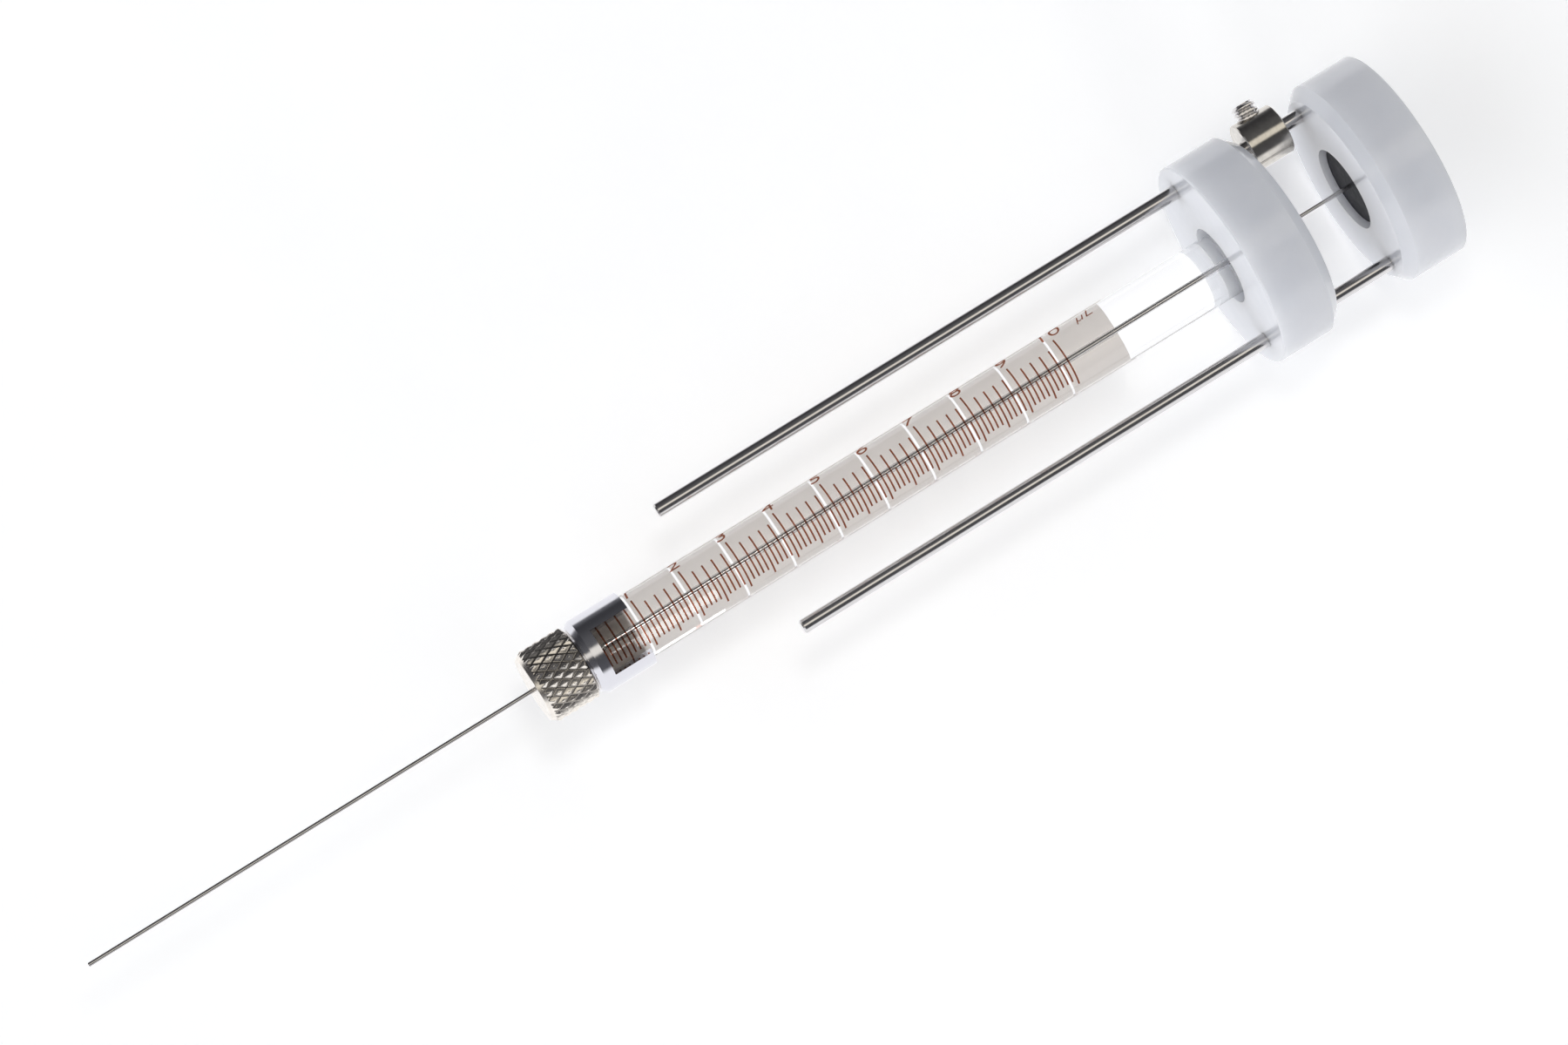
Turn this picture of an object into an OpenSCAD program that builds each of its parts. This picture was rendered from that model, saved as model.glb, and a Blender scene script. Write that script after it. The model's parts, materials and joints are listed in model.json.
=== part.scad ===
// Microlitre syringe with a removable needle and a guided plunger.
// It stands on the flat back of its plunger plate, with the needle straight up.
// The origin is the centre of that face, and the axis of the bore is +Z.
// The scale is read from -Y, and the long guide rod is on the +X side.

/* [Scale] */
// Volume of the full scale in microlitres, one numbered mark each
scale_volume = 10; // [5:1:10]
// Length of bore that holds one microlitre
mark_pitch = 5.413; // [5:0.001:5.5]
// Divisions of one microlitre
divisions = 10; // [5, 10]
// Height of one graduation line along the barrel
line_h = 0.17; // [0.1:0.01:0.25]
// Thickness of the fired enamel of lines and ground
enamel_t = 0.04; // [0.02:0.01:0.08]
// Clear gap in the pale ground behind each numbered mark
backing_gap = 0.25; // [0.1:0.05:0.6]
// Length of pale ground past the last numbered mark
backing_tail = 6.6; // [2:0.1:8]

/* [Glass barrel] */
// Outside diameter of the glass
glass_d = 6.6; // [6:0.1:7.2]
// Diameter of the capillary bore
bore_d = 0.485; // [0.45:0.005:0.6]
// Glass ahead of the zero mark
glass_front = 0.5; // [0.4:0.1:1]
// Fire-polished round on the edge of the glass
glass_round = 0.3; // [0.1:0.05:0.5]

/* [Plates] */
// Diameter of both plates
plate_d = 22.2; // [21:0.1:26]
// Thickness of both plates
plate_t = 7; // [6:0.1:9]
// Chamfer on the one wide edge of each plate
plate_chamfer = 1.15; // [0.5:0.05:2]
// Size of the break on the plates' other rim edge
plate_edge = 0.15; // [0.05:0.05:0.4]
// Free distance between the plates with the plunger down
plate_gap = 7.7; // [7:0.1:10]
// Distance from the zero mark to the face of the barrel plate
zero_to_plate = 72.8; // [70:0.1:80]
// Diameter of the recess round the glass in the barrel plate
recess_d = 8.4; // [8:0.1:10]
// Depth of that recess
recess_depth = 1.2; // [1:0.1:4]
// Shoulder that the end of the glass seats on
seat_t = 0.9; // [0.6:0.1:1.5]
// Diameter of the hole that lets the plunger wire through that shoulder
wire_way_d = 3.2; // [2:0.1:4]

/* [Plunger] */
// Clearance on diameter of the plunger wire in the bore
wire_play = 0.035; // [0.02:0.005:0.06]
// Distance from the zero mark to the tip of the wire with the plunger down
wire_tip = 1.15; // [0.2:0.05:3]
// Diameter of the metal button in the plunger plate
button_d = 9; // [7:0.1:10]
// Depth of the button's face below the face of the plate
button_recess = 0.7; // [0.3:0.1:1.5]
// Length of the button
button_l = 4.3; // [3:0.1:5]
// Edge chamfer of the button
button_edge = 0.3; // [0.1:0.05:0.5]
// Depth of the wire in the button
wire_seat = 2.5; // [1.5:0.1:3]

/* [Guide rods] */
// Diameter of the guide rods
rod_d = 1.5; // [1.2:0.05:1.8]
// Distance between the axes of the guide rods
rod_spacing = 17; // [16:0.1:17.4]
// Length of the long rod in front of the barrel plate
rod_long = 60.4; // [57:0.1:64]
// Length of the short rod in front of the barrel plate
rod_short = 54.2; // [50:0.1:56]
// Depth of the rods in the plunger plate
rod_seat = 5; // [3:0.1:5.5]
// Chamfer on the front end of each rod
rod_chamfer = 0.15; // [0.05:0.05:0.3]
// Clearance on diameter of the rods in the barrel plate
rod_play = 0.08; // [0.04:0.01:0.16]

/* [Stop collar] */
// Outside diameter of the stop collar
collar_d = 5.3; // [4.6:0.1:5.6]
// Length of the stop collar
collar_l = 4.25; // [4:0.05:5]
// Distance between the collar and the barrel plate with the plunger down
collar_gap = 1.15; // [0.5:0.05:2]
// Chamfer on the edges of the collar
collar_chamfer = 0.1; // [0.05:0.05:0.4]
// Major diameter of the set screw
screw_d = 2.5; // [2:0.1:2.8]
// Length of the set screw that stands out of the collar
screw_proud = 1.33; // [0.5:0.01:2]
// Chamfer on both ends of the set screw
screw_edge = 0.25; // [0.1:0.05:0.4]
// Across flats of the hexagon socket of the set screw
socket_af = 1.27; // [1:0.01:1.4]
// Depth of the hexagon socket
socket_depth = 1.2; // [0.6:0.1:1.5]

/* [Window sleeve] */
// Outside diameter of the sleeve
sleeve_d = 8; // [7.8:0.1:9]
// Distance from the zero mark to the front face of the sleeve
sleeve_front = 1.3; // [1.2:0.1:2]
// Distance from the zero mark to the back of the sleeve
sleeve_back = 4.66; // [4:0.01:6]
// Length of the bevel at the front of the sleeve
bevel_l = 0.62; // [0.3:0.01:1]
// Depth of that bevel
bevel_depth = 0.45; // [0.3:0.01:1]
// Distance from the zero mark to the front edge of the window
window_front = 0.39; // [0.2:0.01:1]
// Angle of the window on the side of the long rod
window_long_side = 31; // [20:1:50]
// Angle of the window on the side of the short rod
window_short_side = 46; // [30:1:60]
// Diameter of the boss that the nut runs on
boss_d = 4.6; // [4.2:0.1:5]
// Length of the boss
boss_l = 4.2; // [3.5:0.1:5]

/* [Needle] */
// Outside diameter of the needle
needle_d = 0.47; // [0.4:0.01:0.6]
// Inside diameter of the needle
needle_bore = 0.13; // [0.1:0.01:0.2]
// Length of the needle in front of the nut
needle_l = 50; // [30:0.5:70]
// Diameter of the ferrule on the needle
ferrule_d = 2.8; // [2.4:0.1:3]
// Length of the ferrule that stands out of the boss, for the nut to bear on
ferrule_proud = 0.3; // [0.2:0.05:0.5]
// Thickness of the soft seal between the glass and the ferrule
seal_t = 0.8; // [0.5:0.05:1]

/* [Knurled nut] */
// Diameter over the knurl
nut_d = 7.8; // [7.4:0.1:8.4]
// Diameter of the flat front face of the nut
nut_face_d = 6.8; // [6:0.1:7]
// Length of the front bevel of the nut
nut_bevel = 0.8; // [0.4:0.05:1]
// Length of the rear bevel of the nut
nut_rear_bevel = 0.3; // [0.2:0.05:0.5]
// Thickness of the front wall of the nut
nut_wall = 1.07; // [0.85:0.01:1.3]
// Gap between the nut and the sleeve
nut_gap = 0.2; // [0.1:0.05:0.5]
// Number of knurl grooves of each hand
knurl_starts = 24; // [16:1:32]
// Number of half diamonds along the knurl
knurl_rows = 5; // [3:1:8]
// Depth of the knurl
knurl_depth = 0.26; // [0.1:0.02:0.4]
// Share of each diamond that stays flat on top
knurl_land = 0.22; // [0.1:0.02:0.5]

/* [Hidden] */
$fn = 64;

fit = 0.03;         // radial clearance of turned pieces that seat in each other
cement = enamel_t + 2 * fit;    // radial film of cement round the glass, over the enamel
cut = 1;            // how far a cutter reaches past the face that it opens
front = 270;        // direction of -Y, which the scale faces

wire_d = bore_d - wire_play;

// Heights above the foot, from the stack of the pieces
barrel_plate_z = plate_t + plate_gap;
plate_front_z = barrel_plate_z + plate_t;
zero_z = plate_front_z + zero_to_plate;
glass_z = barrel_plate_z + seat_t;
glass_top_z = zero_z + glass_front;
sleeve_top_z = zero_z + sleeve_front;
sleeve_z = zero_z - sleeve_back;
window_top_z = zero_z - window_front;
boss_top_z = sleeve_top_z + boss_l;
nut_z = sleeve_top_z + nut_gap;
seal_top_z = glass_top_z + seal_t;
ferrule_top_z = boss_top_z + ferrule_proud;
nut_floor_z = ferrule_top_z + fit;
nut_top_z = nut_floor_z + nut_wall;
needle_tip_z = nut_top_z + needle_l;
button_top_z = plate_t - button_recess;
button_z = button_top_z - button_l;
collar_z = barrel_plate_z - collar_gap - collar_l;
screw_z = collar_z + collar_l / 2;
rod_z = plate_t - rod_seat;

// Angles of the graduation lines on each side of the viewing direction:
// [side of the long rod, side of the short rod]
whole_line = [46.6, 49];
half_line = [-1, 50];
even_line = [31.5, 37.6];
odd_line = [-1, 37.6];

// A revolved outline given as [radius, height] points
module turned(outline) rotate_extrude($fn = 128) polygon(outline);

// A shell round the glass between two directions on the side of each rod
module glass_band(z, height, long_side, short_side) {
    translate([0, 0, z])
        rotate([0, 0, front - short_side])
            rotate_extrude(angle = short_side + long_side, $fn = 96)
                translate([glass_d / 2 + fit / 2, 0])
                    square([enamel_t, height]);
}

module barrel_glass() {
    r = glass_d / 2;
    color("azure", 0.4)
        difference() {
            turned([[0, glass_z], [r, glass_z], [r, glass_top_z - glass_round],
                    [r - glass_round, glass_top_z], [0, glass_top_z]]);
            translate([0, 0, glass_z - cut])
                cylinder(d = bore_d, h = glass_top_z - glass_z + 2 * cut);
        }
}

// Which sides a line reaches, by its count of divisions from zero
function line_sides(i) =
    i % divisions == 0 ? whole_line
    : i % divisions == divisions / 2 ? half_line
    : i % 2 == 0 ? even_line
    : odd_line;

module scale_marks() {
    color("sienna")
        for (i = [1 : scale_volume * divisions]) {
            z = zero_z - i * mark_pitch / divisions - line_h / 2;
            sides = line_sides(i);
            glass_band(z, line_h, sides[0], sides[1]);
        }
}

module scale_backing() {
    color("linen")
        for (i = [0 : scale_volume]) {
            length = i < scale_volume ? mark_pitch - backing_gap : backing_tail - backing_gap / 2;
            z = zero_z - i * mark_pitch - backing_gap / 2 - length;
            glass_band(z, length, -90, 270);
        }
}

module window_sleeve() {
    r = sleeve_d / 2;
    glass_hole = glass_d + 2 * cement;
    color("gainsboro")
        difference() {
            turned([[0, sleeve_z], [r, sleeve_z], [r, sleeve_top_z - bevel_l],
                    [r - bevel_depth, sleeve_top_z], [boss_d / 2, sleeve_top_z],
                    [boss_d / 2, boss_top_z], [0, boss_top_z]]);
            translate([0, 0, sleeve_z - cut])
                cylinder(d = glass_hole, h = glass_top_z + fit - sleeve_z + cut);
            cylinder(d = ferrule_d + 2 * fit, h = boss_top_z + cut);
            // The window, open at the back end
            translate([0, 0, sleeve_z - cut])
                rotate([0, 0, front - window_short_side])
                    rotate_extrude(angle = window_short_side + window_long_side)
                        square([sleeve_d, window_top_z - sleeve_z + cut]);
        }
}

// Both plates are the same disc, with one wide chamfer and one small one
module plate_disc(chamfer_up) {
    r = plate_d / 2;
    c = plate_chamfer;
    top = chamfer_up ? c : plate_edge;
    bottom = chamfer_up ? plate_edge : c;
    turned([[0, 0], [r - bottom, 0], [r, bottom], [r, plate_t - top], [r - top, plate_t], [0, plate_t]]);
}

module at_rods() {
    for (side = [-1, 1])
        translate([side * rod_spacing / 2, 0, 0])
            children();
}

module barrel_plate() {
    color("white")
        translate([0, 0, barrel_plate_z])
            difference() {
                plate_disc(chamfer_up = false);
                translate([0, 0, plate_t - recess_depth])
                    cylinder(d = recess_d, h = recess_depth + cut);
                translate([0, 0, seat_t])
                    cylinder(d = glass_d + 2 * cement, h = plate_t);
                translate([0, 0, -cut])
                    cylinder(d = wire_way_d, h = plate_t);
                translate([0, 0, -cut])
                    at_rods() cylinder(d = rod_d + rod_play, h = plate_t + 2 * cut);
            }
}

module needle_seal() {
    color("ivory")
        translate([0, 0, glass_top_z + fit / 2])
            difference() {
                cylinder(d = ferrule_d, h = seal_t - fit);
                translate([0, 0, -cut])
                    cylinder(d = needle_d + 2 * fit, h = seal_t + 2 * cut);
            }
}

module needle_ferrule() {
    length = ferrule_top_z - seal_top_z;
    color("silver")
        translate([0, 0, seal_top_z])
            difference() {
                cylinder(d = ferrule_d, h = length);
                translate([0, 0, -cut])
                    cylinder(d = needle_d, h = length + 2 * cut);
            }
}

module needle() {
    bottom = glass_top_z + fit;
    length = needle_tip_z - bottom;
    color("dimgray")
        translate([0, 0, bottom])
            difference() {
                cylinder(d = needle_d, h = length);
                translate([0, 0, -cut])
                    cylinder(d = needle_bore, h = length + 2 * cut);
            }
}

// Diamond knurl: two sets of crossing V grooves leave a net of low pyramids with flat tops.
// Even net points are groove crossings, odd ones are pyramids with four top corners each.
knurl_cols = 2 * knurl_starts;
LEFT = 0;
DOWN = 1;
RIGHT = 2;
UP = 3;

function is_crossing(i, j) = (i + j) % 2 == 0;
function net_index(i, j, corner) =
    4 * (j * knurl_cols + i % knurl_cols) + (is_crossing(i, j) ? 0 : corner);
function on_round(radius, angle, z) = [radius * cos(angle), radius * sin(angle), z];
// One net point; the corners of a pyramid lie a little to its sides
function net_point(i, j, corner, z, row_h) =
    let (step = 360 / knurl_cols,
         side = is_crossing(i, j) ? 0 : corner == LEFT ? -1 : corner == RIGHT ? 1 : 0,
         rise = is_crossing(i, j) ? 0 : corner == DOWN ? -1 : corner == UP ? 1 : 0,
         row = min(max(j + rise * knurl_land, 0), knurl_rows),
         radius = nut_d / 2 - (is_crossing(i, j) ? knurl_depth : 0))
    on_round(radius, (i + side * knurl_land) * step, z + row * row_h);
// Net indices of one end row, in order round the nut
function end_row(j, end_corner) = [
    for (i = [0 : knurl_cols - 1], corner = is_crossing(i, j) ? [0] : [LEFT, end_corner, RIGHT])
        net_index(i, j, corner)];
function split_quad(a, b, c, d) = [[c, b, a], [d, c, a]];
function ring_quads(lower, upper) = [
    for (k = [0 : len(lower) - 1], face =
            split_quad(lower[k], lower[(k + 1) % len(lower)], upper[(k + 1) % len(lower)], upper[k]))
        face];
// The two grooved flanks in one square of the net
function cell_faces(i, j) =
    let (a = [i, j], b = [i + 1, j], c = [i + 1, j + 1], d = [i, j + 1])
    is_crossing(i, j)
        ? concat(split_quad(at(a, 0), at(b, LEFT), at(b, UP), at(c, 0)),
                 split_quad(at(a, 0), at(c, 0), at(d, RIGHT), at(d, DOWN)))
        : concat(split_quad(at(a, RIGHT), at(b, 0), at(d, 0), at(a, UP)),
                 split_quad(at(b, 0), at(c, DOWN), at(c, LEFT), at(d, 0)));
function at(ij, corner) = net_index(ij[0], ij[1], corner);
function top_faces(i, j) = is_crossing(i, j) ? []
    : split_quad(net_index(i, j, LEFT), net_index(i, j, DOWN), net_index(i, j, RIGHT), net_index(i, j, UP));

// Knurled blank of the nut with its two bevels, from z to z + length
module knurled_blank(z, length) {
    knurl_z = z + nut_rear_bevel;
    row_h = (length - nut_rear_bevel - nut_bevel) / knurl_rows;
    net = [for (j = [0 : knurl_rows], i = [0 : knurl_cols - 1], corner = [LEFT : UP])
        net_point(i, j, corner, knurl_z, row_h)];
    low_row = end_row(0, DOWN);
    high_row = end_row(knurl_rows, UP);
    low_count = len(net);
    high_count = low_count + len(low_row);
    low_edge = [for (k = low_row) let (p = net[k])
        on_round(nut_d / 2 - knurl_depth - nut_rear_bevel / 2, atan2(p[1], p[0]), z)];
    high_edge = [for (k = high_row) let (p = net[k])
        on_round(nut_face_d / 2, atan2(p[1], p[0]), z + length)];
    low_ring = [for (k = [0 : len(low_row) - 1]) low_count + k];
    high_ring = [for (k = [0 : len(high_row) - 1]) high_count + k];
    flanks = [for (j = [0 : knurl_rows - 1], i = [0 : knurl_cols - 1], face = cell_faces(i, j)) face];
    tops = [for (j = [0 : knurl_rows], i = [0 : knurl_cols - 1], face = top_faces(i, j)) face];
    back_to_front = [for (k = [len(high_ring) - 1 : -1 : 0]) high_ring[k]];
    polyhedron(
        points = concat(net, low_edge, high_edge),
        faces = concat(flanks, tops, ring_quads(low_ring, low_row), ring_quads(high_row, high_ring),
                       [low_ring, back_to_front]),
        convexity = 4);
}

module needle_nut() {
    color("silver")
        difference() {
            knurled_blank(nut_z, nut_top_z - nut_z);
            translate([0, 0, nut_z - cut])
                cylinder(d = boss_d + 2 * fit, h = nut_floor_z - nut_z + cut);
            cylinder(d = needle_d + 4 * fit, h = nut_top_z + cut);
        }
}

module plunger_wire() {
    bottom = button_top_z - wire_seat;
    color("dimgray")
        translate([0, 0, bottom])
            cylinder(d = wire_d, h = zero_z - wire_tip - bottom);
}

module plunger_button() {
    r = button_d / 2;
    c = button_edge;
    color("gray")
        difference() {
            turned([[0, button_z], [r - c, button_z], [r, button_z + c], [r, button_top_z - c],
                    [r - c, button_top_z], [0, button_top_z]]);
            translate([0, 0, button_top_z - wire_seat])
                cylinder(d = wire_d, h = wire_seat + cut);
        }
}

module plunger_plate() {
    color("white")
        difference() {
            plate_disc(chamfer_up = true);
            translate([0, 0, button_z])
                cylinder(d = button_d, h = plate_t);
            translate([0, 0, rod_z])
                at_rods() cylinder(d = rod_d, h = plate_t);
        }
}

// A guide rod from its seat in the plunger plate to its front end
module guide_rod(side, reach) {
    r = rod_d / 2;
    top = plate_front_z + reach;
    color("slategray")
        translate([side * rod_spacing / 2, 0, 0])
            turned([[0, rod_z], [r, rod_z], [r, top - rod_chamfer], [r - rod_chamfer, top], [0, top]]);
}

module guide_rod_long() guide_rod(1, rod_long);

module guide_rod_short() guide_rod(-1, rod_short);

module stop_collar() {
    r = collar_d / 2;
    c = collar_chamfer;
    color("tan")
        difference() {
            translate([rod_spacing / 2, 0, collar_z])
                turned([[0, 0], [r - c, 0], [r, c], [r, collar_l - c], [r - c, collar_l], [0, collar_l]]);
            translate([rod_spacing / 2, 0, collar_z - cut])
                cylinder(d = rod_d + 2 * fit, h = collar_l + 2 * cut);
            translate([rod_spacing / 2, 0, screw_z])
                rotate([0, 90, 0])
                    cylinder(d = screw_d + 2 * fit, h = collar_d);
        }
}

module stop_screw() {
    r = screw_d / 2;
    c = screw_edge;
    length = (collar_d - rod_d) / 2 + screw_proud - fit;
    color("silver")
        translate([(rod_spacing + rod_d) / 2 + fit, 0, screw_z])
            rotate([0, 90, 0])
                difference() {
                    turned([[0, 0], [r - c, 0], [r, c], [r, length - c], [r - c, length], [0, length]]);
                    translate([0, 0, length - socket_depth])
                        cylinder(d = socket_af / cos(30), h = socket_depth + cut, $fn = 6);
                }
}

barrel_glass();
scale_marks();
scale_backing();
window_sleeve();
barrel_plate();
needle_seal();
needle_ferrule();
needle();
needle_nut();
plunger_wire();
plunger_button();
plunger_plate();
guide_rod_long();
guide_rod_short();
stop_collar();
stop_screw();
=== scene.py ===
"""Looks of the microsyringe: finishes, smooth glass, knurl, screw thread, numerals, camera and light."""
import json
import math

import bmesh
import bpy
import numpy as np
from mathutils import Matrix, Vector

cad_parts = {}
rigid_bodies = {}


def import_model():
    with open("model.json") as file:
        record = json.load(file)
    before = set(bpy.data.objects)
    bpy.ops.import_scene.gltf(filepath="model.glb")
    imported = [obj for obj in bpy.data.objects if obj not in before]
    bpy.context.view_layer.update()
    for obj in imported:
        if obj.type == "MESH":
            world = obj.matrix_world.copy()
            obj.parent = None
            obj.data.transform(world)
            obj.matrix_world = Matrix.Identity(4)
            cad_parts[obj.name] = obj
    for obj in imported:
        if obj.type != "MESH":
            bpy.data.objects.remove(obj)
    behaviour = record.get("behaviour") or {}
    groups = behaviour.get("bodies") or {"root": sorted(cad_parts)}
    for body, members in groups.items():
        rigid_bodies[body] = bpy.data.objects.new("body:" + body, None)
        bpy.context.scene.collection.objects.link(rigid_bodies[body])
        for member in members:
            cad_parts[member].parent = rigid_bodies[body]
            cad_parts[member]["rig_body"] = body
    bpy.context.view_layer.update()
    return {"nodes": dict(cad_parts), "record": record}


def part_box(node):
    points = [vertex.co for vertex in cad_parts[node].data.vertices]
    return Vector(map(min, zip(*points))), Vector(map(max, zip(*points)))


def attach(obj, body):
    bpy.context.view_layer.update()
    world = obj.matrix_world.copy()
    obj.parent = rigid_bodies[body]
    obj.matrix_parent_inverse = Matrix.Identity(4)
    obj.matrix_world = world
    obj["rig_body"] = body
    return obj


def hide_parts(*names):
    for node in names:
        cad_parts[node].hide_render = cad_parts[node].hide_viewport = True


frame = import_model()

MM = 0.001
NODES = frame["nodes"]

# Sizes of the object that a node's box doesn't give, in millimetres
BORE_D = 0.485
GLASS_RIM_R = 0.3
GLASS_CHAMFER = 0.02
MARK_PITCH = 5.413
ENAMEL_T = 0.04
NUT_FACE_D = 6.8
NUT_BEVEL = 0.8
NUT_REAR_BEVEL = 0.3
NUT_WALL = 1.07
NUT_BORE_D = 4.66
NUT_NEEDLE_D = 0.59
NUT_FACE_EDGE = 0.02
NUT_NEEDLE_EDGE = 0.06
KNURL_DEPTH = 0.3
SCREW_PITCH = 0.6
SCREW_DEPTH = 0.28
SCREW_END = 0.3
SOCKET_AF = 1.27
SOCKET_DEPTH = 1.2
SOCKET_EDGE = 0.08

# How many there are of each
MARK_COUNT = 10
KNURL_STARTS = 24
KNURL_ROWS = 5

# The share of the way from a groove's middle to a diamond's that is flat top
KNURL_LAND = 0.1

# The knurl's profile, along a way that runs from 0 in a groove's middle to 1 where the flat top begins
KNURL_ROUNDING = 0.12
VALLEY_WIDTH = 0.12
CREST_WIDTH = 0.16
# How far along that way the painted shade in the grooves reaches
GROOVE_SHADE_WIDTH = 0.45

# Lettering on the glass: lengths in millimetres, directions in degrees from the front towards the long rod
NUMBER_H = 1.9
NUMBER_DEG = 56
NUMBER_SLANT = 0.12
UNIT_H = 1.3
UNIT_DEG = 53
UNIT_SLANT = 0.3
UNIT_BEYOND_SCALE = 3.95
LETTER_STRETCH = 1.12
LETTER_LIFT = 0.015
LETTER_CUT = 0.12

# Blender's own font: the height of its figures and how much their strokes are thinned, in its own units
FONT_FIGURE_H = 0.72
FONT_THINNING = -0.012


def box_mm(node):
    """Lowest and highest corner of a CAD node, in millimetres."""
    low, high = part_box(node)
    return low / MM, high / MM


# ---------------------------------------------------------------- meshes

def link_object(name, data):
    """A new object of this data, linked to the scene."""
    obj = bpy.data.objects.new(name, data)
    bpy.context.scene.collection.objects.link(obj)
    return obj


def mesh_object(name, points, faces, sharp_deg=30):
    """An object of a closed mesh given in millimetres, smooth apart from its sharp edges."""
    mesh = bpy.data.meshes.new(name)
    mesh.from_pydata([tuple(np.array(p) * MM) for p in points], [], faces)
    mesh.update()
    bm = bmesh.new()
    bm.from_mesh(mesh)
    bmesh.ops.recalc_face_normals(bm, faces=bm.faces)
    bm.to_mesh(mesh)
    bm.free()
    for face in mesh.polygons:
        face.use_smooth = True
    mesh.set_sharp_from_angle(angle=math.radians(sharp_deg))
    return link_object(name, mesh)


def angles_round(segments):
    """Even angles round the Z axis, from the X axis on."""
    return np.arange(segments) * 2 * math.pi / segments


def ring(radius, z, segments):
    """Points round the Z axis; radius may vary with the angle."""
    angle = angles_round(segments)
    radius = np.broadcast_to(radius, angle.shape)
    z = np.broadcast_to(z, angle.shape)
    return np.stack([radius * np.cos(angle), radius * np.sin(angle), z], 1)


def band(first, second, count):
    """Faces between two rings of count points each, which start at the points first and second."""
    return [(first + i, first + (i + 1) % count, second + (i + 1) % count, second + i)
            for i in range(count)]


def ring_loop(name, rings, sharp_deg=30):
    """A closed solid from rings of points, each joined to the next and the last to the first."""
    count = len(rings[0])
    faces = []
    for j in range(len(rings)):
        faces += band(j * count, (j + 1) % len(rings) * count, count)
    return mesh_object(name, np.concatenate(rings), faces, sharp_deg)


def glass_tube():
    """The barrel as one polished tube with a fine bore and a rounded rim at the needle's end."""
    low, high = box_mm("barrel_glass")
    outer, bore, rim = high.x, BORE_D / 2, GLASS_RIM_R
    segments, steps, inset = 256, 40, 1
    profile = [(bore, low.z), (outer - GLASS_CHAMFER, low.z), (outer, low.z + GLASS_CHAMFER)]
    profile += [(outer, z) for z in np.linspace(low.z + inset, high.z - rim, steps)]
    profile += [(outer - rim * (1 - math.cos(a)), high.z - rim * (1 - math.sin(a)))
                for a in np.linspace(0, math.pi / 2, 7)[1:]]
    profile += [(bore, high.z)]
    profile += [(bore, z) for z in np.linspace(high.z - inset, low.z + inset, steps)]
    return ring_loop("glass_tube", [ring(radius, z, segments) for radius, z in profile])


def knurl_rise(angle, height, row_h):
    """Place across the diamond knurl: 0 in a groove, 1 and more on the flat tops."""
    i = angle * 2 * KNURL_STARTS / (2 * math.pi)
    j = height / row_h
    u, v = (i + j) / 2, (i - j) / 2
    return np.minimum(2 * np.abs(u - np.round(u)), 2 * np.abs(v - np.round(v))) / (1 - KNURL_LAND)


def knurl_radius(outer, rise):
    """The knurl's radius at a place across it, with rounded valleys and crests."""
    crest = np.minimum(rise, 1) - KNURL_ROUNDING * np.exp(-((rise - 1) / CREST_WIDTH) ** 2) / 2
    valley = KNURL_ROUNDING * np.exp(-(rise / VALLEY_WIDTH) ** 2)
    return outer - KNURL_DEPTH * (1 - np.clip(crest + valley, 0, 1))


def knurled_nut():
    """The needle nut with rounded diamonds that run out on its bevels; its attribute "groove" is painted
    shade, 1 deep in the knurl's grooves.
    """
    low, high = box_mm("needle_nut")
    outer, face_r = (high.x - low.x) / 2, NUT_FACE_D / 2
    bore_r, needle_r = NUT_BORE_D / 2, NUT_NEEDLE_D / 2
    rear_r = outer - KNURL_DEPTH - NUT_REAR_BEVEL / 2
    points_across, steps = 12, 112
    segments = 2 * KNURL_STARTS * points_across
    angle, unshaded = angles_round(segments), np.zeros(segments)
    knurl_low, knurl_high = low.z + NUT_REAR_BEVEL, high.z - NUT_BEVEL
    row_h = (knurl_high - knurl_low) / KNURL_ROWS
    rings = [ring(bore_r, low.z, segments), ring(rear_r, low.z, segments)]
    groove_shade = [unshaded, unshaded]
    for z in np.linspace(low.z, high.z - 2 * NUT_FACE_EDGE, steps)[1:]:
        rise = knurl_rise(angle, z - knurl_low, row_h)
        knurl = knurl_radius(outer, rise)
        rear_limit = rear_r + (z - low.z) / NUT_REAR_BEVEL * (outer - rear_r)
        front_limit = face_r + (high.z - z) / NUT_BEVEL * (outer - face_r)
        limit = min(rear_limit, front_limit)
        rings.append(ring(np.minimum(knurl, limit), z, segments))
        # Painted shade in the grooves: darkest in their middle, none where a bevel cuts the knurl
        groove_shade.append(np.clip(1 - rise / GROOVE_SHADE_WIDTH, 0, 1) * (knurl < limit))
    floor = high.z - NUT_WALL
    for radius, z in ((face_r - NUT_FACE_EDGE, high.z), (needle_r + NUT_NEEDLE_EDGE, high.z),
                      (needle_r, high.z - NUT_NEEDLE_EDGE), (needle_r, floor), (bore_r, floor)):
        rings.append(ring(radius, z, segments))
        groove_shade.append(unshaded)
    nut = ring_loop("knurled_nut", rings, sharp_deg=38)
    # The attribute "groove" carries the painted shade to the material
    nut.data.attributes.new("groove", "FLOAT", "POINT").data.foreach_set("value", np.concatenate(groove_shade))
    return nut


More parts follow.
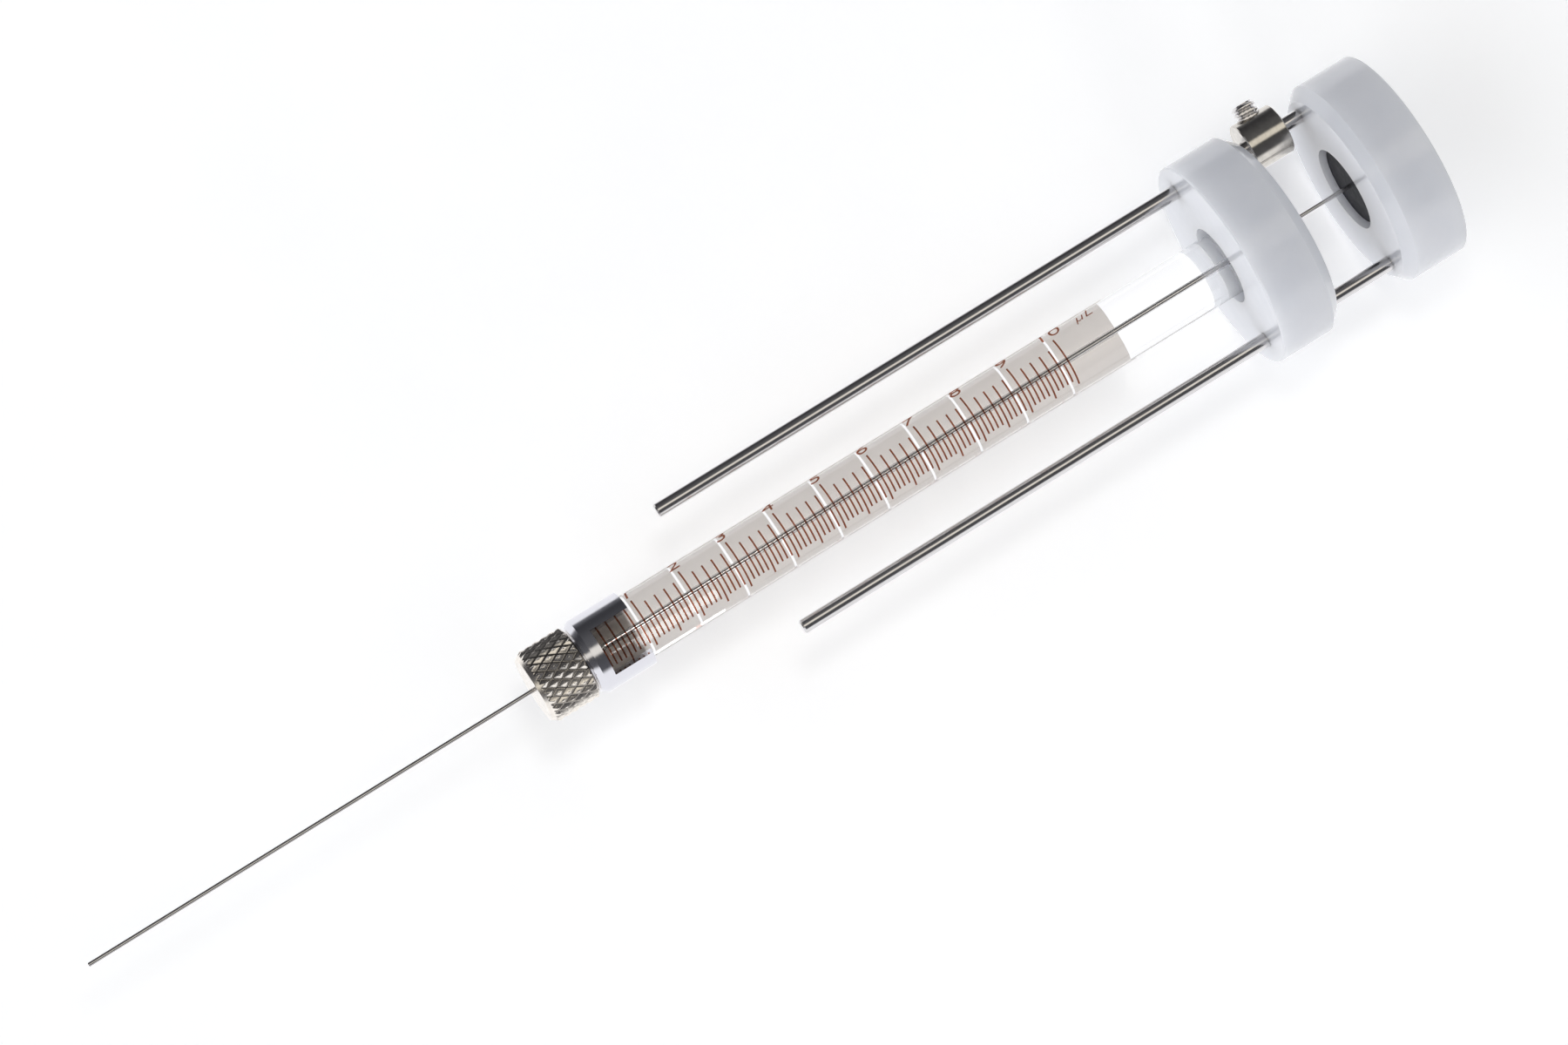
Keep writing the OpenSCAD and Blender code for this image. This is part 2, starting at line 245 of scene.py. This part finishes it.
def threaded_screw():
    """The set screw with its thread and hexagon socket, lying along X."""
    low, high = box_mm("stop_screw")
    outer, length = (high.y - low.y) / 2, high.x - low.x
    segments, steps = 96, 90
    flank_slope, groove_width = 1.6, 1.25
    angle = angles_round(segments)
    rings = []
    for z in np.linspace(0, length, steps):
        phase = (z / SCREW_PITCH - angle / (2 * math.pi)) % 1
        groove = np.clip(groove_width * (1 - np.abs(2 * phase - 1) * flank_slope), 0, 1)
        limit = outer - SCREW_DEPTH * max(0, 1 - z / SCREW_END, 1 - (length - z) / SCREW_END)
        rings.append(ring(np.minimum(outer - SCREW_DEPTH * groove, limit), z, segments))
    floor, side = length - SOCKET_DEPTH, math.pi / 3
    hexagon = SOCKET_AF / 2 / np.cos((angle + side / 2) % side - side / 2)
    for radius, z in ((hexagon + SOCKET_EDGE, length), (hexagon, length - SOCKET_EDGE), (hexagon, floor)):
        rings.append(ring(radius, z, segments))
    last = (len(rings) - 1) * segments
    faces = []
    for first in range(0, last, segments):
        faces += band(first, first + segments, segments)
    points = list(np.concatenate(rings))
    for first, z in ((0, 0), (last, floor)):
        centre = len(points)
        points.append((0, 0, z))
        faces += [(first + i, first + (i + 1) % segments, centre) for i in range(segments)]
    mid_y, mid_z = (low.y + high.y) / 2, (low.z + high.z) / 2
    points = [(low.x + z, mid_y + y, mid_z + x) for x, y, z in points]
    return mesh_object("threaded_screw", points, faces, sharp_deg=40)


def flat_text(words, slant):
    """A flat mesh of a short text in Blender's own font and units, centred along X."""
    curve = bpy.data.curves.new("text", "FONT")
    curve.body = words
    curve.align_x = "CENTER"
    curve.shear = slant
    curve.offset = FONT_THINNING
    curve.resolution_u = 4
    holder = link_object("text", curve)
    bpy.context.view_layer.update()
    mesh = bpy.data.meshes.new_from_object(holder)
    bpy.data.objects.remove(holder)
    return mesh


def wrapped_text(bm, words, height, z, direction_deg, radius, slant):
    """Adds a text to bm, laid along the round glass with its middle at z; it reads towards the plunger."""
    mesh = flat_text(words, slant)
    text = bmesh.new()
    text.from_mesh(mesh)
    scale = height / FONT_FIGURE_H
    bmesh.ops.scale(text, vec=(scale * LETTER_STRETCH, scale, scale), verts=text.verts)
    # Cuts let the strokes bend; they start below the line and end above the figures
    below, above = 0.3, 0.4
    for y in np.arange(-below, height + above, LETTER_CUT):
        geometry = list(text.verts) + list(text.edges) + list(text.faces)
        bmesh.ops.bisect_plane(text, geom=geometry, plane_co=(0, y, 0), plane_no=(0, 1, 0))
    solid = bmesh.ops.extrude_face_region(text, geom=list(text.faces))
    for v in solid["geom"]:
        if isinstance(v, bmesh.types.BMVert):
            v.co.z = ENAMEL_T
    for v in text.verts:
        angle = math.radians(direction_deg) + v.co.y / radius
        r = radius + v.co.z
        v.co = Vector((r * math.sin(angle), -r * math.cos(angle), z - v.co.x)) * MM
    bmesh.ops.recalc_face_normals(text, faces=text.faces)
    text.to_mesh(mesh)
    bm.from_mesh(mesh)
    text.free()
    bpy.data.meshes.remove(mesh)


def numerals():
    """Numbers 1 to 10 and the unit, beside a scale whose zero is a tenth of a division before its marks."""
    radius = box_mm("barrel_glass")[1].x + LETTER_LIFT
    zero_z = box_mm("scale_marks")[1].z + MARK_PITCH / 10
    unit_z = zero_z - MARK_COUNT * MARK_PITCH - UNIT_BEYOND_SCALE
    bm = bmesh.new()
    for i in range(1, MARK_COUNT + 1):
        wrapped_text(bm, str(i), NUMBER_H, zero_z - i * MARK_PITCH, NUMBER_DEG, radius, NUMBER_SLANT)
    wrapped_text(bm, "µL", UNIT_H, unit_z, UNIT_DEG, radius, UNIT_SLANT)
    mesh = bpy.data.meshes.new("scale_numerals")
    bm.to_mesh(mesh)
    bm.free()
    return link_object("scale_numerals", mesh)


# ---------------------------------------------------------------- materials

# Sockets of the mix nodes go by number, because several of them share a name
MIX_SHARE = 0
SHADER_A, SHADER_B = 1, 2
COLOR_A, COLOR_B, COLOR_OUT = 6, 7, 2

# A noise that isn't stretched, and the ranges of its values that colour and roughness follow
EVEN = (1, 1, 1)
NOISE_FOR_COLOR = (0.35, 0.65)
NOISE_FOR_ROUGHNESS = (0.3, 0.7)


class Finish:
    """A node material: one shader whose colour, roughness and bump come from procedural textures."""

    def __init__(self, name, color, roughness, metallic=0.0):
        self.material = bpy.data.materials.new(name)
        self.material.use_nodes = True
        self.tree = self.material.node_tree
        self.link = self.tree.links.new
        self.shader = self.tree.nodes["Principled BSDF"]
        self.color = (*color, 1)
        self.set(Base_Color=self.color, Roughness=roughness, Metallic=metallic)

    def set(self, **values):
        """Sets inputs of the shader; _ stands for a space in an input's name."""
        for name, value in values.items():
            self.shader.inputs[name.replace("_", " ")].default_value = value

    def add(self, kind, **inputs):
        """A new node with these inputs set; _ stands for a space in an input's name."""
        node = self.tree.nodes.new(kind)
        for name, value in inputs.items():
            node.inputs[name.replace("_", " ")].default_value = value
        return node

    def noise(self, stretch, scale):
        """Noise in the object's own space, finer along an axis with a higher stretch."""
        place = self.add("ShaderNodeTexCoord")
        mapping = self.add("ShaderNodeMapping", Scale=stretch)
        noise = self.add("ShaderNodeTexNoise", Scale=scale, Detail=4.0, Roughness=0.6)
        self.link(place.outputs["Object"], mapping.inputs["Vector"])
        self.link(mapping.outputs["Vector"], noise.inputs["Vector"])
        return noise.outputs["Fac"]

    def spread(self, value, given, wanted):
        """The value, with the given range of it spread over the wanted one."""
        node = self.add("ShaderNodeMapRange", From_Min=given[0], From_Max=given[1],
                        To_Min=wanted[0], To_Max=wanted[1])
        self.link(value, node.inputs["Value"])
        return node.outputs["Result"]

    def mix_color(self, share, other):
        """Gives the shader a mix of two colours, other by its share, and returns the mix node."""
        mix = self.add("ShaderNodeMix")
        mix.data_type = "RGBA"
        mix.inputs[COLOR_B].default_value = (*other, 1)
        self.link(share, mix.inputs[MIX_SHARE])
        self.link(mix.outputs[COLOR_OUT], self.shader.inputs["Base Color"])
        return mix

    def vary_color(self, value, other):
        """Lets the colour wander between the finish's own and another one."""
        mix = self.mix_color(self.spread(value, NOISE_FOR_COLOR, (0, 1)), other)
        mix.inputs[COLOR_A].default_value = self.color

    def darken(self, attribute, other):
        """Paints shade: goes over to another colour where the mesh's attribute says so."""
        before = self.shader.inputs["Base Color"].links[0].from_socket
        shade_mask = self.add("ShaderNodeAttribute")
        shade_mask.attribute_name = attribute
        mix = self.mix_color(shade_mask.outputs["Fac"], other)
        self.link(before, mix.inputs[COLOR_A])
        return self

    def vary_roughness(self, value, low, high):
        """Lets the roughness wander between low and high."""
        self.link(self.spread(value, NOISE_FOR_ROUGHNESS, (low, high)), self.shader.inputs["Roughness"])

    def bump(self, value, depth_mm, strength):
        """Lets the surface seem to rise and fall with the value, by depth_mm."""
        bump = self.add("ShaderNodeBump", Strength=strength, Distance=depth_mm * MM)
        self.link(value, bump.inputs["Height"])
        self.link(bump.outputs["Normal"], self.shader.inputs["Normal"])
        return self

    def blend(self, kind, color, share):
        """Lets another shader take a share of the surface, which is a number or what a node gives."""
        other = self.add(kind, Color=(*color, 1))
        mix = self.add("ShaderNodeMixShader")
        if isinstance(share, float):
            mix.inputs[MIX_SHARE].default_value = share
        else:
            self.link(share, mix.inputs[MIX_SHARE])
        self.link(self.shader.outputs["BSDF"], mix.inputs[SHADER_A])
        self.link(other.outputs["BSDF"], mix.inputs[SHADER_B])
        self.link(mix.outputs["Shader"], self.tree.nodes["Material Output"].inputs["Surface"])
        return self


def clear_glass():
    """Clear glass, whose shadow is nearly clear too."""
    finish = Finish("clear_glass", (1.0, 1.0, 1.0), roughness=0.0)
    finish.set(Transmission_Weight=1.0, IOR=1.474)
    finish.vary_color(finish.noise((1, 1, 0.2), 200), (0.99, 1.0, 1.0))
    shadow = finish.add("ShaderNodeLightPath").outputs["Is Shadow Ray"]
    return finish.blend("ShaderNodeBsdfTransparent", (0.9, 0.91, 0.91), shadow)


def brown_enamel():
    """Thin fired enamel, which the ground behind it shines through."""
    finish = Finish("brown_enamel", (0.095, 0.034, 0.018), roughness=0.35)
    finish.vary_color(finish.noise(EVEN, 2600), (0.15, 0.056, 0.03))
    finish.bump(finish.noise(EVEN, 9000), depth_mm=0.01, strength=0.5)
    return finish.blend("ShaderNodeBsdfTransparent", (0.68, 0.4, 0.3), 0.85)


def pale_enamel():
    """The fired ground behind the scale, which lets light through from behind."""
    finish = Finish("pale_enamel", (0.84, 0.79, 0.75), roughness=0.45)
    finish.vary_color(finish.noise(EVEN, 900), (0.79, 0.74, 0.70))
    finish.bump(finish.noise(EVEN, 5000), depth_mm=0.006, strength=0.4)
    return finish.blend("ShaderNodeBsdfTranslucent", (1.0, 0.975, 0.95), 0.7)


def bright_plate():
    """Chrome with faint lines round the sleeve."""
    finish = Finish("bright_plate", (0.73, 0.73, 0.77), roughness=0.07, metallic=1.0)
    finish.vary_roughness(finish.noise((1, 1, 6), 500), low=0.1, high=0.19)
    return finish.bump(finish.noise((0.3, 0.3, 12), 500), depth_mm=0.001, strength=0.12)


def nickel_plate(name="nickel_plate", color=(0.67, 0.64, 0.59), roughest=0.19):
    """Warm nickel with fine turned lines."""
    darker = [0.87 * c for c in color]
    finish = Finish(name, color, roughness=0.14, metallic=1.0)
    finish.vary_color(finish.noise(EVEN, 1500), darker)
    finish.vary_roughness(finish.noise((1, 1, 8), 1600), low=roughest / 2, high=roughest)
    return finish.bump(finish.noise((0.3, 0.3, 26), 1100), depth_mm=0.003, strength=0.4)


def knurled_plate():
    """The brighter nickel of the knurled nut, with painted shade in its grooves."""
    finish = nickel_plate("knurled_plate", color=(0.95, 0.90, 0.83), roughest=0.34)
    # Painted shade: the colour that the knurl's grooves go over to
    return finish.darken("groove", (0.19, 0.175, 0.16))


def drawn_steel():
    """Steel with fine lines along the rods, the wire and the needle."""
    finish = Finish("drawn_steel", (0.74, 0.73, 0.73), roughness=0.2, metallic=1.0)
    finish.vary_color(finish.noise((8, 8, 0.3), 500), (0.66, 0.64, 0.635))
    finish.vary_roughness(finish.noise((8, 8, 0.4), 600), low=0.13, high=0.22)
    return finish.bump(finish.noise((8, 8, 0.3), 500), depth_mm=0.001, strength=0.1)


def dark_metal():
    """The near-black, grainy metal of the plunger's button."""
    finish = Finish("dark_metal", (0.012, 0.013, 0.018), roughness=0.6)
    finish.set(Specular_IOR_Level=0.15)
    finish.vary_color(finish.noise(EVEN, 1300), (0.035, 0.035, 0.042))
    return finish.bump(finish.noise(EVEN, 2200), depth_mm=0.01, strength=0.5)


def white_plastic():
    """Glossy white plastic that light enters a little way."""
    finish = Finish("white_plastic", (0.74, 0.75, 0.78), roughness=0.14)
    finish.set(Subsurface_Weight=0.8, Subsurface_Radius=(1, 1, 1), Subsurface_Scale=5 * MM)
    finish.set(Specular_IOR_Level=0.6)
    finish.vary_color(finish.noise(EVEN, 160), (0.77, 0.775, 0.80))
    finish.vary_roughness(finish.noise(EVEN, 420), low=0.10, high=0.2)
    return finish.bump(finish.noise((1, 1, 3), 700), depth_mm=0.004, strength=0.25)


def seal_plastic():
    """Soft matt plastic, hidden inside the sleeve."""
    finish = Finish("seal_plastic", (0.84, 0.83, 0.79), roughness=0.5)
    return finish.bump(finish.noise(EVEN, 3000), depth_mm=0.004, strength=0.3)


# ---------------------------------------------------------------- pieces

# By the record's material slots
FINISHES = {
    "clear_glass": clear_glass(),
    "brown_enamel": brown_enamel(),
    "pale_enamel": pale_enamel(),
    "bright_plate": bright_plate(),
    "nickel_plate": nickel_plate(),
    "steel": drawn_steel(),
    "dark_metal": dark_metal(),
    "white_plastic": white_plastic(),
    "seal_plastic": seal_plastic(),
}


def finish_with(obj, finish):
    """Makes this finish the only material of obj."""
    obj.data.materials.clear()
    obj.data.materials.append(finish.material)


def add_piece(obj, body, slot_name, finish=None):
    """obj rides on a body, in the slot's finish or in one of its own."""
    finish_with(obj, finish or FINISHES[slot_name])
    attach(obj, body)


def stand_in(obj, node, slot_name, finish=None):
    """obj takes the place of a CAD node, on that node's body."""
    add_piece(obj, NODES[node]["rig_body"], slot_name, finish)
    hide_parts(node)


def dress_object():
    """Finishes every CAD node, and adds the pieces that are made here."""
    for subpart in frame["record"]["subparts"]:
        finish_with(NODES[subpart["node"]], FINISHES[subpart["material_slot"]])
    stand_in(glass_tube(), "barrel_glass", "clear_glass")
    stand_in(knurled_nut(), "needle_nut", "nickel_plate", knurled_plate())
    stand_in(threaded_screw(), "stop_screw", "steel")
    add_piece(numerals(), "barrel", "brown_enamel")


# ---------------------------------------------------------------- camera

# Where the photo was taken from; the focal length is in the photo's pixels, the sensor in millimetres
PHOTO_W = 1800
FOCAL_PX = 7688.6
SENSOR_W = 36.0
CAMERA_TARGET = Vector((1.07, 0, 72.0)) * MM
CAMERA_DISTANCE = 649.7 * MM
CAMERA_AZIMUTH = math.radians(0.43)
CAMERA_ELEVATION = math.radians(8.85)
CAMERA_ROLL = math.radians(121.7)


def add_camera():
    """The camera looks along +Y, a little down, and is rolled so that the needle points to the lower left."""
    towards = Vector((math.sin(CAMERA_AZIMUTH) * math.cos(CAMERA_ELEVATION),
                      -math.cos(CAMERA_AZIMUTH) * math.cos(CAMERA_ELEVATION),
                      math.sin(CAMERA_ELEVATION)))
    side = Vector((0, 0, 1)).cross(towards).normalized()
    up = towards.cross(side)
    c, s = math.cos(CAMERA_ROLL), math.sin(CAMERA_ROLL)
    right, top = c * side - s * up, s * side + c * up
    data = bpy.data.cameras.new("camera")
    data.sensor_width = SENSOR_W
    data.lens = FOCAL_PX * SENSOR_W / PHOTO_W
    data.clip_start, data.clip_end = 0.01, 20
    camera = link_object("camera", data)
    turn = Matrix((right, top, towards)).transposed().to_4x4()
    camera.matrix_world = Matrix.Translation(CAMERA_TARGET + towards * CAMERA_DISTANCE) @ turn
    bpy.context.scene.camera = camera


# ---------------------------------------------------------------- light

# Light round the Z axis: degrees from the front (-Y) towards the long rod (+X), and colour
RING_STOPS = [
    (-180, (1.08, 1.08, 1.1)),
    (-71, (1.08, 1.08, 1.1)),
    (-55, (0.10, 0.10, 0.11)),
    (-14, (0.08, 0.08, 0.085)),
    (-6, (1.0, 0.95, 0.86)),
    (10, (1.0, 0.95, 0.86)),
    (20, (0.12, 0.12, 0.125)),
    (90, (0.05, 0.05, 0.055)),
    (108, (0.14, 0.14, 0.15)),
    (118, (1.08, 1.08, 1.1)),
    (180, (1.08, 1.08, 1.1)),
]

# Light from the needle's side: its colour, and the sines of the elevations between which it fades in
ABOVE_COLOR = (1.35, 1.40, 1.50)
ABOVE_FADE = (0.45, 0.75)


def add_world():
    """A white studio, dark in front apart from a warm strip, with light from above for diffuse faces only."""
    world = bpy.data.worlds.new("studio")
    bpy.context.scene.world = world
    world.use_nodes = True
    tree = world.node_tree
    tree.nodes.clear()
    new, link = tree.nodes.new, tree.links.new

    def math_node(operation, *values):
        """What this operation makes of numbers, or of what other nodes give."""
        node = new("ShaderNodeMath")
        node.operation = operation
        for socket, value in zip(node.inputs, values):
            if isinstance(value, (int, float)):
                socket.default_value = value
            else:
                link(value, socket)
        return node.outputs[0]

    place = new("ShaderNodeTexCoord")
    axes = new("ShaderNodeSeparateXYZ")
    link(place.outputs["Generated"], axes.inputs[0])
    x, y, z = axes.outputs

    # 0 at the back, a quarter at -X, half at the front, three quarters at +X and 1 at the back again
    around = math_node("ARCTAN2", x, math_node("MULTIPLY", y, -1))
    share = math_node("ADD", math_node("MULTIPLY", around, 1 / (2 * math.pi)), 0.5)
    ramp = new("ShaderNodeValToRGB")
    ramp.color_ramp.interpolation = "EASE"
    elements = ramp.color_ramp.elements
    while len(elements) < len(RING_STOPS):
        elements.new(0.5)
    for element, (degrees, color) in zip(elements, RING_STOPS):
        element.position = degrees / 360 + 0.5
        element.color = (*color, 1)
    link(share, ramp.inputs[0])

    # The light from above falls on diffuse faces, and no metal mirrors it
    paths = new("ShaderNodeLightPath")
    above = new("ShaderNodeMapRange")
    above.inputs["From Min"].default_value, above.inputs["From Max"].default_value = ABOVE_FADE
    link(z, above.inputs["Value"])
    lit = new("ShaderNodeMix")
    lit.data_type = "RGBA"
    link(math_node("MULTIPLY", above.outputs[0], paths.outputs["Is Diffuse Ray"]), lit.inputs[MIX_SHARE])
    link(ramp.outputs[0], lit.inputs[COLOR_A])
    lit.inputs[COLOR_B].default_value = (*ABOVE_COLOR, 1)
    background = new("ShaderNodeBackground")
    link(lit.outputs[COLOR_OUT], background.inputs["Color"])

    # The camera itself sees plain white
    white = new("ShaderNodeBackground")
    white.inputs["Color"].default_value = (1, 1, 1, 1)
    mix = new("ShaderNodeMixShader")
    link(paths.outputs["Is Camera Ray"], mix.inputs[MIX_SHARE])
    link(background.outputs[0], mix.inputs[SHADER_A])
    link(white.outputs[0], mix.inputs[SHADER_B])
    out = new("ShaderNodeOutputWorld")
    link(mix.outputs[0], out.inputs["Surface"])


def add_lamp(name, place, target, size, watts):
    """A square lamp that looks at its target and isn't mirrored in the metal."""
    data = bpy.data.lights.new(name, "AREA")
    data.shape = "SQUARE"
    data.size = size
    data.energy = watts
    lamp = link_object(name, data)
    lamp.location = place
    lamp.rotation_euler = (Vector(target) - Vector(place)).to_track_quat("-Z", "Y").to_euler()
    lamp.visible_glossy = False


# ---------------------------------------------------------------- paper

PAPER_WHITE = (1, 0.994, 0.98)
PAPER_CLOUD = (0.99, 0.984, 0.97)
PAPER_GLOW = (1, 0.985, 0.955)

# In metres: how far the sheets reach to each side and up, and where they lie.
# The floor is below the plunger when that is fully drawn.
SHEET_REACH = 2.0
FLOOR_Z = -57 * MM
WALL_Y = 11.3 * MM


def paper(name, albedo, glow):
    """White paper with faint clouds, which takes the object's shadow and is clear from its back."""
    finish = Finish(name, [albedo * c for c in PAPER_WHITE], roughness=0.9)
    finish.set(Specular_IOR_Level=0.0, Emission_Color=(*PAPER_GLOW, 1), Emission_Strength=glow)
    finish.vary_color(finish.noise(EVEN, 40), [albedo * c for c in PAPER_CLOUD])
    back = finish.add("ShaderNodeNewGeometry").outputs["Backfacing"]
    return finish.blend("ShaderNodeBsdfTransparent", (1, 1, 1), back)


def floor_paper():
    """Paper that glows in the camera's view only, so that its glow lights nothing."""
    glow = 0.51
    finish = paper("floor_paper", albedo=0.5, glow=glow)
    path = finish.add("ShaderNodeLightPath")
    strength = finish.add("ShaderNodeMath")
    strength.operation = "MULTIPLY"
    strength.inputs[1].default_value = glow
    finish.link(path.outputs["Is Camera Ray"], strength.inputs[0])
    finish.link(strength.outputs[0], finish.shader.inputs["Emission Strength"])
    return finish


def wall_paper():
    """Paper whose albedo is over 1, so that its shadow is as deep as the photo's; only the camera sees it."""
    return paper("wall_paper", albedo=1.45, glow=0.05)


def add_sheet(name, corners, finish):
    """A flat sheet of paper that doesn't show in metal or through glass."""
    mesh = bpy.data.meshes.new(name)
    mesh.from_pydata(corners, [], [(0, 1, 2, 3)])
    sheet = link_object(name, mesh)
    finish_with(sheet, finish)
    sheet.visible_glossy = sheet.visible_transmission = False
    return sheet


def add_paper():
    """The floor, and an upright sheet right behind the object."""
    far = SHEET_REACH
    floor_corners = [(x, y, FLOOR_Z) for x, y in ((-far, -far), (far, -far), (far, far), (-far, far))]
    wall_corners = [(x, WALL_Y, z) for x, z in ((-far, FLOOR_Z), (far, FLOOR_Z), (far, far), (-far, far))]
    add_sheet("floor", floor_corners, floor_paper())
    wall = add_sheet("wall", wall_corners, wall_paper())
    wall.visible_diffuse = False


dress_object()
add_camera()
add_world()
add_paper()
add_lamp("key", place=(0.16, -0.55, 0.05), target=(0, 0.01, 0.07), size=0.1, watts=0.24)
add_lamp("side_light", place=(-0.6, -0.1, 0.08), target=(0, 0, 0.07), size=0.14, watts=0.4)
bpy.context.scene.view_settings.view_transform = "Standard"
